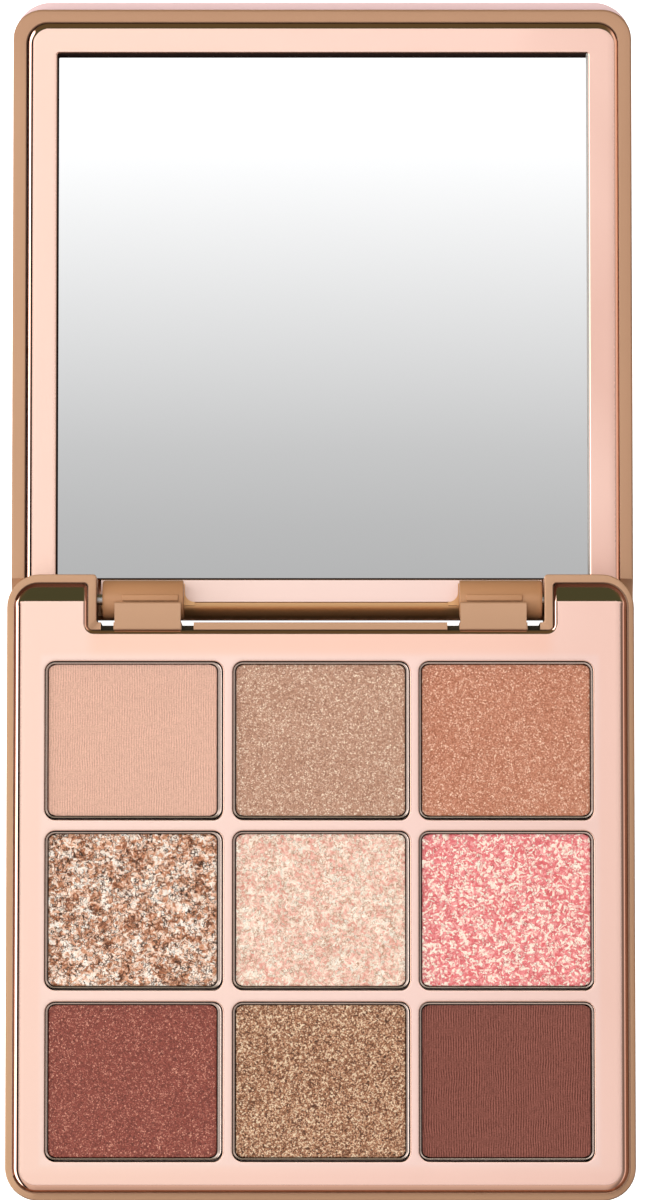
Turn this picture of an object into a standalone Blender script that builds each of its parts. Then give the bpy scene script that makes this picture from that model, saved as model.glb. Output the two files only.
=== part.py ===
# Nine-shade eyeshadow palette, lid folded flat open behind the base.
# Frame: +Z up, +X right, +Y towards the lid; the palette lies on Z = 0 and the
# origin is under the middle of the open palette.  Dimensions below are in mm,
# measured from the hinge axis in Y and from the resting surface in Z.
import bpy
import bmesh
import math
from mathutils import Matrix

MM = 0.001

# ---------------------------------------------------------------- dimensions
HALF_W = 43.8            # half width of base and lid
BASE_FRONT = -83.86      # base front edge, from the hinge axis
BASE_REAR = 3.30         # rear edge of the two ears
BASE_R = 4.6             # corner radius of the base
BASE_H = 11.5            # rim height
RIM_SIDE = 0.98          # rim width at the sides
RIM_FRONT = 1.36
RIM_REAR = 1.20
COVER_T = 1.4            # outer covers
FLOOR_Z = 2.4            # top of the tan floor

HINGE_Z = 8.1            # hinge axis height
BARREL_R = 2.70
RIB_R = 2.95             # detent rib on the barrel
BLOCK_R = 3.17           # hollow under the hinge blocks
PIN_R = 0.75
BORE_R = 1.05
BARREL_X0, BARREL_X1 = 19.60, 30.75
BLOCK_X0, BLOCK_X1 = 19.55, 28.77
BLOCK_TIP = -0.58
NOTCH_HALF = 31.30       # hinge notch between the ears
NOTCH_Y = -3.40          # rear face of the notch wall
WALL_Y = -4.50           # inner face of the notch wall
R_NOSE = 4.65            # the ears stay inside this radius
R_COVE = 4.95            # the lid corners stay outside it

DECK_TOP = 11.4
DECK_BOT = 4.10
WELL_W, WELL_D, WELL_R = 24.50, 22.00, 1.50
PITCH_X, PITCH_Y = 25.98, 23.72
WELL_CX, WELL_CY = -0.11, -43.55         # centre of the middle well
WELL_Z = 5.10
PAN_W, PAN_D, PAN_R = 23.96, 21.46, 1.30
PAN_WALL = 0.34
PAN_Z0, PAN_Z1 = 5.45, 11.10
POWDER_TOP = 10.90
PAN_FLOOR = 0.40

LID_H = 4.2              # lid thickness
LID_Z = 0.2              # lid underside above the surface when folded flat
LID_END = 84.28          # far edge of the tan rim
LIP_END = 85.70          # far edge of the cover's thumb lip
LID_HINGE = -2.46        # hinge-side edge of the lid
LID_R = 4.2
LID_RIM_X = 41.87        # inside of the tan rim
LID_RIM_Y0, LID_RIM_Y1 = -0.12, 82.30
FRAME_X, FRAME_Y0, FRAME_Y1 = 41.60, 0.12, 82.05
OPEN_X, OPEN_Y0, OPEN_Y1 = 37.46, 3.36, 77.80
FRAME_Z0, FRAME_Z1 = 2.55, 4.20
MIRROR_Z0, MIRROR_Z1 = 1.60, 2.40

Y_OFF = -(BASE_FRONT + LIP_END) / 2.0    # puts the origin under the middle

# ------------------------------------------------------------------- set-up
for ob in list(bpy.data.objects):
    bpy.data.objects.remove(ob, do_unlink=True)


def collection(name):
    c = bpy.data.collections.get(name) or bpy.data.collections.new(name)
    if name not in bpy.context.scene.collection.children:
        bpy.context.scene.collection.children.link(c)
    return c


PARTS = collection("eyeshadow_palette")
CUTTERS = collection("cutters")


def material(name, rgb, rough, metal):
    m = bpy.data.materials.new(name)
    m.use_nodes = True
    b = m.node_tree.nodes["Principled BSDF"]
    b.inputs["Base Color"].default_value = (*rgb, 1.0)
    b.inputs["Roughness"].default_value = rough
    b.inputs["Metallic"].default_value = metal
    m.diffuse_color = (*rgb, 1.0)
    return m


TAN = material("caramel_plastic", (0.56, 0.33, 0.19), 0.42, 0.0)
PINK = material("rose_metallised_plastic", (0.93, 0.62, 0.52), 0.12, 0.9)
COVER = material("rose_cover_plastic", (0.86, 0.60, 0.54), 0.35, 0.0)
GLASS = material("mirror_silver", (0.92, 0.93, 0.94), 0.03, 1.0)
TAPE = material("mounting_tape", (0.80, 0.79, 0.74), 0.8, 0.0)
STEEL = material("bright_steel", (0.72, 0.72, 0.72), 0.25, 1.0)
MAGNET = material("nickel_magnet", (0.62, 0.61, 0.58), 0.3, 1.0)
TIN = material("pan_aluminium", (0.80, 0.74, 0.68), 0.35, 1.0)
GLUE = material("pan_glue", (0.85, 0.82, 0.74), 0.6, 0.0)
SHADES = [
    [(0.76, 0.47, 0.34), (0.45, 0.25, 0.15), (0.51, 0.23, 0.12)],
    [(0.47, 0.26, 0.18), (0.79, 0.55, 0.43), (0.82, 0.36, 0.32)],
    [(0.21, 0.065, 0.045), (0.33, 0.18, 0.085), (0.12, 0.042, 0.034)],
]

# ------------------------------------------------------------------ helpers


def rounded_rect(x0, x1, y0, y1, r, seg=6):
    """Corner points of a rounded rectangle, counter-clockwise."""
    rs = r if isinstance(r, (tuple, list)) else (r, r, r, r)
    corners = [(x1, y1, 0, rs[0]), (x0, y1, 90, rs[1]),
               (x0, y0, 180, rs[2]), (x1, y0, 270, rs[3])]
    pts = []
    for cx, cy, a0, rr in corners:
        sx = 1 if cx == x1 else -1
        sy = 1 if cy == y1 else -1
        for i in range(seg + 1):
            a = math.radians(a0 + 90.0 * i / seg)
            pts.append((cx - sx * rr + rr * math.cos(a),
                        cy - sy * rr + rr * math.sin(a)))
    return pts


def arc(cx, cy, r, a0, a1, n):
    return [(cx + r * math.cos(math.radians(a0 + (a1 - a0) * i / n)),
             cy + r * math.sin(math.radians(a0 + (a1 - a0) * i / n)))
            for i in range(n + 1)]


def prism_mesh(name, loops, height, along_x=False, bevel_top=0.0, bevel_bottom=0.0, segs=2):
    """Flat outline (with holes) from a filled 2D curve, extruded to a closed mesh."""
    cu = bpy.data.curves.new(name + "_outline", "CURVE")
    cu.dimensions = "2D"
    cu.fill_mode = "BOTH"
    cu.extrude = height * MM / 2.0
    for loop in loops:
        sp = cu.splines.new("POLY")
        sp.points.add(len(loop) - 1)
        for p, (x, y) in zip(sp.points, loop):
            p.co = (x * MM, y * MM, 0.0, 1.0)
        sp.use_cyclic_u = True
    tmp = bpy.data.objects.new(name + "_outline", cu)
    CUTTERS.objects.link(tmp)
    bpy.context.view_layer.update()
    dg = bpy.context.evaluated_depsgraph_get()
    me = bpy.data.meshes.new_from_object(tmp.evaluated_get(dg))
    me.name = name
    bpy.data.objects.remove(tmp, do_unlink=True)
    bpy.data.curves.remove(cu)
    bm = bmesh.new()
    bm.from_mesh(me)
    bmesh.ops.remove_doubles(bm, verts=bm.verts, dist=1e-6)
    bmesh.ops.translate(bm, verts=bm.verts, vec=(0, 0, height * MM / 2.0))
    bmesh.ops.recalc_face_normals(bm, faces=bm.faces)
    for level, width in ((height * MM, bevel_top), (0.0, bevel_bottom)):
        if width <= 0.0:
            continue
        edges = []
        for e in bm.edges:
            if all(abs(v.co.z - level) < 1e-7 for v in e.verts):
                zs = sorted(abs(f.normal.z) for f in e.link_faces)
                if len(zs) == 2 and zs[0] < 0.1 and zs[1] > 0.9:
                    edges.append(e)
        bmesh.ops.bevel(bm, geom=edges, offset=width * MM, offset_type="OFFSET",
                        segments=segs, profile=0.5, affect="EDGES", clamp_overlap=True)
    if along_x:
        bmesh.ops.transform(bm, verts=bm.verts,
                            matrix=Matrix(((0, 0, 1, 0), (1, 0, 0, 0), (0, 1, 0, 0), (0, 0, 0, 1))))
    bmesh.ops.recalc_face_normals(bm, faces=bm.faces)
    bm.to_mesh(me)
    bm.free()
    me.materials.clear()
    return me


def part(name, me, mat, location, parent):
    """A named piece of the palette; location is relative to its parent, in mm."""
    ob = bpy.data.objects.new(name, me)
    PARTS.objects.link(ob)
    ob.parent = parent
    ob.location = [c * MM for c in location]
    if not me.materials:
        me.materials.append(mat)
    me.shade_smooth()
    me.set_sharp_from_angle(angle=math.radians(32.0))
    return ob


def cutter(name, me, location, parent):
    ob = bpy.data.objects.new(name, me)
    CUTTERS.objects.link(ob)
    ob.parent = parent
    ob.location = [c * MM for c in location]
    ob.hide_render = True
    ob.display_type = "WIRE"
    return ob


def boolean(ob, tool, operation="DIFFERENCE"):
    m = ob.modifiers.new(tool.name, "BOOLEAN")
    m.object = tool
    m.operation = operation
    m.solver = "EXACT"


def box_mesh(name, sx, sy, sz):
    me = bpy.data.meshes.new(name)
    bm = bmesh.new()
    bmesh.ops.create_cube(bm, size=1.0)
    bmesh.ops.scale(bm, vec=(sx * MM, sy * MM, sz * MM), verts=bm.verts)
    bm.to_mesh(me)
    bm.free()
    return me


def box_cutter(name, x0, x1, y0, y1, z0, z1, parent):
    return cutter(name, box_mesh(name, x1 - x0, y1 - y0, z1 - z0),
                  ((x0 + x1) / 2, (y0 + y1) / 2, (z0 + z1) / 2), parent)


def rod_mesh(name, radius, length, sides):
    """Round bar along X, centred on its origin."""
    me = bpy.data.meshes.new(name)
    bm = bmesh.new()
    bmesh.ops.create_cone(bm, cap_ends=True, segments=sides, radius1=radius * MM,
                          radius2=radius * MM, depth=length * MM,
                          matrix=Matrix.Rotation(math.pi / 2, 4, "Y"))
    bm.to_mesh(me)
    bm.free()
    return me


def settle(ob):
    """Apply the piece's modifiers so its mesh can be shared."""
    bpy.context.view_layer.update()
    dg = bpy.context.evaluated_depsgraph_get()
    me = bpy.data.meshes.new_from_object(ob.evaluated_get(dg))
    ob.modifiers.clear()
    ob.data = me
    return me


def empty(name, location):
    e = bpy.data.objects.new(name, None)
    PARTS.objects.link(e)
    e.location = [c * MM for c in location]
    return e


base = empty("base_frame", (0, Y_OFF, 0))
lid = empty("lid_hinge_axis", (0, Y_OFF, HINGE_Z))

# --------------------------------------------------------------------- base
# outer bottom cover, stops in front of the hinge
part("base_cover", prism_mesh("base_cover",
     [rounded_rect(-HALF_W, HALF_W, BASE_FRONT, NOTCH_Y, (1.2, 1.2, BASE_R, BASE_R))],
     COVER_T, bevel_bottom=0.9, segs=3), COVER, (0, 0, 0), base)

# tan shell: rim, floor, notch wall, hinge blocks and the two ears
SHELL_Z0 = COVER_T + 0.15
shell = part("base_shell", prism_mesh("base_shell",
             [rounded_rect(-HALF_W, HALF_W, BASE_FRONT, BASE_REAR, BASE_R)],
             BASE_H - SHELL_Z0, bevel_top=0.32, segs=2), TAN, (0, 0, SHELL_Z0), base)
boolean(shell, cutter("main_cavity", prism_mesh("main_cavity",
        [rounded_rect(-HALF_W + RIM_SIDE, HALF_W - RIM_SIDE, BASE_FRONT + RIM_FRONT, WALL_Y,
                      (0.6, 0.6, 3.4, 3.4))], 12.0), (0, 0, FLOOR_Z), base))
EAR_X0, EAR_X1 = NOTCH_HALF + 1.22, HALF_W - RIM_SIDE
boolean(shell, cutter("ear_cavity_right", prism_mesh("ear_cavity_right",
        [rounded_rect(EAR_X0, EAR_X1, WALL_Y - 2.0, BASE_REAR - RIM_REAR, (3.4, 0.5, 0.2, 0.2))], 4.0),
        (0, 0, 9.2), base))
boolean(shell, cutter("ear_cavity_left", prism_mesh("ear_cavity_left",
        [rounded_rect(-EAR_X1, -EAR_X0, WALL_Y - 2.0, BASE_REAR - RIM_REAR, (0.5, 3.4, 0.2, 0.2))], 4.0),
        (0, 0, 9.2), base))
boolean(shell, box_cutter("hinge_notch", -NOTCH_HALF, NOTCH_HALF, NOTCH_Y, 9.0, -1.0, 14.0, base))
# the ears are noses that the lid corners pass under
under = [(NOTCH_Y, -9.5), (9.0, -9.5), (9.0, 0.0)]
end = math.degrees(math.acos(NOTCH_Y / R_NOSE))
under += arc(0, 0, R_NOSE, 0.0, -end, 18)
boolean(shell, cutter("ear_undercut", prism_mesh("ear_undercut", [under], 100.0, along_x=True),
                      (-50.0, 0, HINGE_Z), base))
for sx in (1, -1):
    side = "right" if sx > 0 else "left"
    # see-through slots beside each hinge block
    for k, (xa, xb) in enumerate(((17.72, 19.42), (28.92, 30.68))):
        x0, x1 = sorted((sx * xa, sx * xb))
        boolean(shell, box_cutter(f"slot_{side}_{k}", x0, x1, -3.64, -3.20, 0.0, 14.0, base))
        boolean(shell, box_cutter(f"slot_top_{side}_{k}", x0, x1, -4.90, -3.55, 10.1, 14.0, base))
    # hinge block reaching over the barrel
    tip = math.degrees(math.acos(BLOCK_TIP / BLOCK_R))
    sec = [(-4.10, BASE_H - HINGE_Z - 0.001), (-4.10, 0.0)]
    sec += arc(0, 0, BLOCK_R, 180.0, tip, 10)
    sec += [(BLOCK_TIP, BASE_H - HINGE_Z - 0.001)]
    x0 = BLOCK_X0 if sx > 0 else -BLOCK_X1
    boolean(shell, cutter(f"hinge_block_{side}", prism_mesh(f"hinge_block_{side}", [sec[::-1]],
            BLOCK_X1 - BLOCK_X0, along_x=True), (x0, 0, HINGE_Z), base), "UNION")
    boolean(shell, cutter(f"pin_bore_{side}", rod_mesh(f"pin_bore_{side}", BORE_R, 8.0, 20),
                          (sx * 33.2, 0, HINGE_Z), base))

# steel plate that gives the base its weight
part("weight_plate", prism_mesh("weight_plate",
     [rounded_rect(-41.6, 41.6, -81.3, -5.8, 3.0)], 1.4), STEEL, (0, 0, FLOOR_Z + 0.15), base)

# rose deck with nine wells and two tabs into the ears
tab_r = BASE_REAR - RIM_REAR - 0.22
dx = HALF_W - RIM_SIDE - 0.22
dy0 = BASE_FRONT + RIM_FRONT + 0.22
ny = WALL_Y - 0.22
nx = EAR_X0 + 0.22
outline = arc(dx - 3.1, dy0 + 3.1, 3.1, -90, 0, 6)
outline += arc(dx - 3.1, tab_r - 3.1, 3.1, 0, 90, 6)
outline += arc(nx + 0.5, tab_r - 0.5, 0.5, 90, 180, 3)
outline += arc(nx - 0.8, ny + 0.8, 0.8, 0, -90, 3)
outline += arc(-nx + 0.8, ny + 0.8, 0.8, -90, -180, 3)
outline += arc(-nx - 0.5, tab_r - 0.5, 0.5, 0, 90, 3)
outline += arc(-dx + 3.1, tab_r - 3.1, 3.1, 90, 180, 6)
outline += arc(-dx + 3.1, dy0 + 3.1, 3.1, 180, 270, 6)
deck = part("deck_tray", prism_mesh("deck_tray", [outline], DECK_TOP - DECK_BOT), PINK, (0, 0, DECK_BOT), base)
boolean(deck, box_cutter("under_deck_tabs", -50.0, 50.0, -5.3, 6.0, 3.0, 9.5, base))
for r in range(3):
    for c in range(3):
        x, y = WELL_CX + (c - 1) * PITCH_X, WELL_CY + (1 - r) * PITCH_Y
        boolean(deck, cutter(f"well_r{r + 1}c{c + 1}", prism_mesh(f"well_r{r + 1}c{c + 1}",
                [rounded_rect(-WELL_W / 2, WELL_W / 2, -WELL_D / 2, WELL_D / 2, WELL_R, 5)], 9.0),
                (x, y, WELL_Z), base))
for sx, side in ((1, "right"), (-1, "left")):
    x0, x1 = sorted((sx * 24.5, sx * 35.5))
    boolean(deck, box_cutter(f"magnet_pocket_{side}", x0, x1, -81.7, -79.15, 3.0, 10.0, base))
    part(f"base_magnet_{side}", box_mesh(f"base_magnet_{side}", 10.0, 2.0, 2.0), MAGNET,
         (sx * 30.0, -80.42, 8.8), base)

# aluminium pans, pressed powders and their glue pads
pan = part("pan_r1c1", prism_mesh("pan", [rounded_rect(-PAN_W / 2, PAN_W / 2, -PAN_D / 2, PAN_D / 2, PAN_R, 5)],
           PAN_Z1 - PAN_Z0), TIN, (WELL_CX - PITCH_X, WELL_CY + PITCH_Y, PAN_Z0), base)
iw, idp = PAN_W / 2 - PAN_WALL, PAN_D / 2 - PAN_WALL
hollow = cutter("pan_hollow", prism_mesh("pan_hollow", [rounded_rect(-iw, iw, -idp, idp, PAN_R - PAN_WALL, 5)], 9.0),
                (WELL_CX - PITCH_X, WELL_CY + PITCH_Y, PAN_Z0 + PAN_FLOOR), base)
boolean(pan, hollow)
pan_mesh = settle(pan)
pan_mesh.name = "pan"
pan_mesh.materials.clear()
pan_mesh.materials.append(TIN)
gap = 0.12
for r in range(3):
    for c in range(3):
        x, y = WELL_CX + (c - 1) * PITCH_X, WELL_CY + (1 - r) * PITCH_Y
        tag = f"r{r + 1}c{c + 1}"
        if (r, c) != (0, 0):
            part(f"pan_{tag}", pan_mesh, TIN, (x, y, PAN_Z0), base)
        shade = material(f"powder_{tag}", SHADES[r][c], 0.7, 0.0)
        part(f"powder_{tag}", prism_mesh(f"powder_{tag}",
             [rounded_rect(-iw + gap, iw - gap, -idp + gap, idp - gap, PAN_R - PAN_WALL - gap, 4)],
             POWDER_TOP - PAN_Z0 - PAN_FLOOR - 0.15, bevel_top=0.18, segs=1), shade,
             (x, y, PAN_Z0 + PAN_FLOOR + 0.15), base)
        me = bpy.data.meshes.new(f"pan_glue_{tag}")
        bm = bmesh.new()
        bmesh.ops.create_cone(bm, cap_ends=True, segments=16, radius1=5.0 * MM, radius2=5.0 * MM, depth=0.15 * MM)
        bm.to_mesh(me)
        bm.free()
        part(f"pan_glue_{tag}", me, GLUE, (x, y, WELL_Z + 0.175), base)

# steel hinge pins, pressed into the ears
for sx, side in ((1, "right"), (-1, "left")):
    part(f"hinge_pin_{side}", rod_mesh(f"hinge_pin_{side}", PIN_R, 14.6, 20), STEEL,
         (sx * 29.2, 0, HINGE_Z), base)

# ---------------------------------------------------------------------- lid
# modelled about the hinge axis in its flat-open position
LZ = LID_Z - HINGE_Z     # lid underside, from the axis
part("lid_cover", prism_mesh("lid_cover",
     [rounded_rect(-HALF_W, HALF_W, LID_HINGE, LIP_END, (5.2, 5.2, 2.2, 2.2))],
     COVER_T, bevel_bottom=0.9, segs=3), COVER, (0, 0, LZ), lid)

TRAY_Z0 = COVER_T + 0.15
tray = part("lid_tray", prism_mesh("lid_tray",
            [rounded_rect(-HALF_W, HALF_W, LID_HINGE, LID_END, (LID_R, LID_R, 2.2, 2.2)),
             rounded_rect(-LID_RIM_X, LID_RIM_X, LID_RIM_Y0, LID_RIM_Y1, (3.0, 3.0, 0.6, 0.6))[::-1]],
            LID_H - TRAY_Z0), TAN, (0, 0, LZ + TRAY_Z0), lid)
# rounded hinge edge
zt = LZ + LID_H
rr = 2.20
edge = [(-5.0, zt + 1.0), (-5.0, zt - rr)] + arc(LID_HINGE + rr, zt - rr, rr, 180, 90, 8) + [(LID_HINGE + rr, zt + 1.0)]
boolean(tray, cutter("hinge_edge_round", prism_mesh("hinge_edge_round", [edge], 100.0, along_x=True),
                     (-50.0, 0, 0), lid))
# corners that pass under the ears
for sx, side in ((1, "right"), (-1, "left")):
    boolean(tray, cutter(f"lid_cove_{side}", rod_mesh(f"lid_cove_{side}", R_COVE, 14.0, 64),
                         (sx * (NOTCH_HALF - 0.15 + 7.0), 0, 0), lid))
    # barrel on its tongue, with the detent rib and the pin bore
    cx = sx * (BARREL_X0 + BARREL_X1) / 2
    ln = BARREL_X1 - BARREL_X0
    boolean(tray, box_cutter(f"tongue_{side}", cx - ln / 2, cx + ln / 2, -2.05, -0.22, zt - 1.8, -0.6, lid), "UNION")
    boolean(tray, cutter(f"barrel_{side}", rod_mesh(f"barrel_{side}", BARREL_R, ln, 40), (cx, 0, 0), lid), "UNION")
    x0, x1 = sorted((sx * 20.1, sx * 28.0))
    boolean(tray, box_cutter(f"rib_{side}", x0, x1, -0.40, 0.55, 2.0, 2.89, lid), "UNION")
    boolean(tray, cutter(f"barrel_bore_{side}", rod_mesh(f"barrel_bore_{side}", BORE_R, 12.0, 20),
                         (sx * 27.4, 0, 0), lid))

frame = part("mirror_frame", prism_mesh("mirror_frame",
             [rounded_rect(-FRAME_X, FRAME_X, FRAME_Y0, FRAME_Y1, (2.6, 2.6, 0.5, 0.5)),
              rounded_rect(-OPEN_X, OPEN_X, OPEN_Y0, OPEN_Y1, 0.25, 1)[::-1]],
             FRAME_Z1 - FRAME_Z0), PINK, (0, 0, LZ + FRAME_Z0), lid)
for sx, side in ((1, "right"), (-1, "left")):
    boolean(frame, cutter(f"frame_cove_{side}", rod_mesh(f"frame_cove_{side}", R_COVE, 14.0, 64),
                          (sx * (NOTCH_HALF - 0.15 + 7.0), 0, 0), lid))

part("mirror_glass", prism_mesh("mirror_glass",
     [rounded_rect(-38.9, 38.9, 2.0, 79.3, 0.5, 2)], MIRROR_Z1 - MIRROR_Z0), GLASS, (0, 0, LZ + MIRROR_Z0), lid)
part("mirror_tape", prism_mesh("mirror_tape",
     [rounded_rect(-36.0, 36.0, 5.0, 76.0, 1.0, 2)], 0.10), TAPE, (0, 0, LZ + COVER_T + 0.05), lid)
for sx, side in ((1, "right"), (-1, "left")):
    part(f"lid_magnet_{side}", box_mesh(f"lid_magnet_{side}", 10.0, 1.9, 0.85), MAGNET,
         (sx * 30.0, 80.72, LZ + COVER_T + 0.1 + 0.425), lid)
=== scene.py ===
# Nine-shade eyeshadow palette, lid folded flat open behind the base: surfaces,
# finishes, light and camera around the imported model.
import math
import random

import bmesh
import bpy
import numpy as np
from mathutils import Matrix, Vector, geometry, noise


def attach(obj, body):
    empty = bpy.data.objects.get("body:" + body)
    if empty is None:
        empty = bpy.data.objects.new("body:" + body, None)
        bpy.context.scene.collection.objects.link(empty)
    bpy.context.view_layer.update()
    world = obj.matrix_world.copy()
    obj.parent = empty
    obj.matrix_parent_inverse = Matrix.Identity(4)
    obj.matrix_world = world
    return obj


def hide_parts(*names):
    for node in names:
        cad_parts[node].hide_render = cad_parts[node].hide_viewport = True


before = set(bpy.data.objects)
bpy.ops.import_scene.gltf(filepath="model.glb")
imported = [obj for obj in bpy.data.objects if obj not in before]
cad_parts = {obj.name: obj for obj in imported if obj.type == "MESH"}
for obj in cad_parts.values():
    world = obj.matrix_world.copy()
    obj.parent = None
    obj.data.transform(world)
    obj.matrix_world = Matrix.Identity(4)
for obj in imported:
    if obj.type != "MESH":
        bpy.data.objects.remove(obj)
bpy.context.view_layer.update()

scene = bpy.context.scene

# Dimensions are in mm: Y from the hinge axis, Z from the resting surface.
MM = 0.001
Y_OFF = -0.92
AXIS_Z = 8.1
LID_Z = 0.2
LID_X = 0.26            # the lid lies a little to the right on its pins
WELL_HH, WELL_R = 11.10, 1.50
ROWS = [-19.94, -43.61, -67.37]
# per column: centre and half width of the well and of the pan, centre of the pan's opening, upturn of its edge
COLUMNS = [(-26.04, 12.50, -26.11, 12.325, -26.22, 1.0), (0.11, 12.40, 0.06, 12.24, 0.02, 1.0), (25.96, 12.28, 25.945, 12.185, 25.93, 0.4)]

# ===================================================================== shapes


class Shape:
    """Vertices in mm and faces by index, with one material number per face."""

    def __init__(self):
        self.v, self.f, self.m = [], [], []

    def ring(self, pts):
        s = len(self.v)
        self.v.extend(pts)
        return list(range(s, s + len(pts)))

    def bridge(self, a, b, mat=0):
        n = len(a)
        for i in range(n):
            j = (i + 1) % n
            self.f.append((a[i], a[j], b[j], b[i]))
            self.m.append(mat)

    def loft(self, rings, mat=0, closed=False):
        for a, b in zip(rings, rings[1:]):
            self.bridge(a, b, mat)
        if closed:
            self.bridge(rings[-1], rings[0], mat)

    def cap(self, ring, mat=0):
        self.f.append(tuple(ring))
        self.m.append(mat)

    def fill(self, loops, lines=(), mat=0):
        """The region inside the first loop and outside the others, cut along the lines."""
        idx = [i for l in loops for i in l]
        pos = {i: k for k, i in enumerate(idx)}
        pts = [Vector(self.v[i][:2]) for i in idx]
        edges = [(pos[l[i]], pos[l[(i + 1) % len(l)]]) for l in loops for i in range(len(l))]
        edges += [(pos[a], pos[b]) for a, b in lines]
        vo, _, fo, ov, _, _ = geometry.delaunay_2d_cdt(pts, edges, [], 0, 1e-7)
        polys = [np.array([self.v[i][:2] for i in l]) for l in loops]
        for tri in fo:
            c = sum((vo[k] for k in tri), Vector((0.0, 0.0))) / len(tri)
            if sum(inside(p, c.x, c.y) for p in polys) % 2 and polys_ok(polys[0], c):
                self.f.append(tuple(idx[ov[k][0]] for k in tri))
                self.m.append(mat)


def inside(poly, x, y):
    a, b = poly, np.roll(poly, -1, axis=0)
    cross = (a[:, 1] > y) != (b[:, 1] > y)
    if not cross.any():
        return 0
    a, b = a[cross], b[cross]
    xs = a[:, 0] + (y - a[:, 1]) * (b[:, 0] - a[:, 0]) / (b[:, 1] - a[:, 1])
    return int((xs > x).sum() % 2)


def polys_ok(outer, c):
    return inside(outer, c.x, c.y) == 1


def rr(cx, cy, hw, hh, r, z, seg=8):
    """Rounded rectangle ring, counter-clockwise."""
    r = max(r, 0.03)
    pts = []
    for sx, sy, a0 in ((1, 1, 0), (-1, 1, 90), (-1, -1, 180), (1, -1, 270)):
        for i in range(seg + 1):
            a = math.radians(a0 + 90.0 * i / seg)
            pts.append((cx + sx * (hw - r) + r * math.cos(a), cy + sy * (hh - r) + r * math.sin(a), z))
    return pts


def outline(poly, radii, inset, drop, seg=8, arcs=None, extra=None):
    """Ring along a right-angled outline (counter-clockwise).  inset and drop (a
    height) are given per edge, edge i running from corner i to corner i + 1;
    arcs gives a corner its own steps, extra puts points on an edge at given Y."""
    n = len(poly)
    arcs, extra = arcs or {}, extra or {}
    steps = [i / seg for i in range(seg + 1)]
    dirs = []
    for i in range(n):
        (x0, y0), (x1, y1) = poly[i], poly[(i + 1) % n]
        ln = math.hypot(x1 - x0, y1 - y0)
        dirs.append(((x1 - x0) / ln, (y1 - y0) / ln))
    pts = []
    for i in range(n):
        p, q = (i - 1) % n, i
        e1, e2 = dirs[p], dirs[q]
        n1, n2 = (-e1[1], e1[0]), (-e2[1], e2[0])
        convex = e1[0] * e2[1] - e1[1] * e2[0] > 0
        vx = poly[i][0] + n1[0] * inset[p] + n2[0] * inset[q]
        vy = poly[i][1] + n1[1] * inset[p] + n2[1] * inset[q]
        mean = (inset[p] + inset[q]) / 2
        r = max(radii[i] - mean if convex else radii[i] + mean, 0.04)
        s = 1 if convex else -1
        cx, cy = vx + s * r * (n1[0] + n2[0]), vy + s * r * (n1[1] + n2[1])
        a0 = math.atan2(-s * n1[1], -s * n1[0])
        for t in arcs.get(i, steps):
            a = a0 + s * t * math.pi / 2
            pts.append((cx + r * math.cos(a), cy + r * math.sin(a), drop[p] * (1 - t) + drop[q] * t))
        for y in extra.get(i, ()):
            pts.append((vx, y, drop[q]))
    return pts


def tidy(me):
    bm = bmesh.new()
    bm.from_mesh(me)
    bmesh.ops.remove_doubles(bm, verts=bm.verts, dist=2e-7)
    bmesh.ops.dissolve_degenerate(bm, edges=bm.edges, dist=1e-7)
    bmesh.ops.recalc_face_normals(bm, faces=bm.faces)
    bm.to_mesh(me)
    bm.free()


def mesh_of(name, shape):
    me = bpy.data.meshes.new(name)
    me.from_pydata([(x * MM, (y + Y_OFF) * MM, z * MM) for x, y, z in shape.v], [], shape.f)
    me.polygons.foreach_set("material_index", shape.m)
    tidy(me)
    return me


def temp(name, me):
    ob = bpy.data.objects.new(name, me)
    scene.collection.objects.link(ob)
    return ob


def cut(me, tools, slots=2):
    """The mesh with each (operation, mesh) tool applied to it."""
    for _ in range(slots):
        me.materials.append(None)
    body = temp("work", me)
    made = []
    for k, (op, tool) in enumerate(tools):
        t = temp(f"tool{k}", tool)
        made.append(t)
        m = body.modifiers.new(f"b{k}", "BOOLEAN")
        m.object, m.operation, m.solver = t, op, "EXACT"
    bpy.context.view_layer.update()
    out = bpy.data.meshes.new_from_object(body.evaluated_get(bpy.context.evaluated_depsgraph_get()))
    for t in made + [body]:
        bpy.data.objects.remove(t, do_unlink=True)
    bm = bmesh.new()
    bm.from_mesh(out)
    bmesh.ops.remove_doubles(bm, verts=bm.verts, dist=1e-6)
    bmesh.ops.dissolve_degenerate(bm, edges=bm.edges, dist=5e-7)
    bm.to_mesh(out)
    bm.free()
    return out


def piece(name, me, mats, body, nodes=(), smooth=34.0):
    me.name = name
    mats = mats if isinstance(mats, (list, tuple)) else [mats]
    while len(me.materials) > len(mats):
        me.materials.pop()
    for i, m in enumerate(mats):
        if i < len(me.materials):
            me.materials[i] = m
        else:
            me.materials.append(m)
    if body == "lid":
        me.transform(Matrix.Translation((LID_X * MM, 0, 0)))
    me.shade_smooth()
    me.set_sharp_from_angle(angle=math.radians(smooth))
    ob = temp(name, me)
    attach(ob, body)
    if nodes:
        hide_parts(*nodes)
    return ob


def block_mesh(x0, x1, y0, y1, z0, z1, bevel=0.0, segs=3):
    me = bpy.data.meshes.new("block")
    bm = bmesh.new()
    bmesh.ops.create_cube(bm, size=1.0)
    bmesh.ops.scale(bm, vec=((x1 - x0) * MM, (y1 - y0) * MM, (z1 - z0) * MM), verts=bm.verts)
    bmesh.ops.translate(bm, vec=((x0 + x1) / 2 * MM, ((y0 + y1) / 2 + Y_OFF) * MM, (z0 + z1) / 2 * MM), verts=bm.verts)
    if bevel:
        bmesh.ops.bevel(bm, geom=list(bm.edges), offset=bevel * MM, segments=segs, profile=0.5, affect="EDGES")
    bm.to_mesh(me)
    bm.free()
    return me


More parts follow.
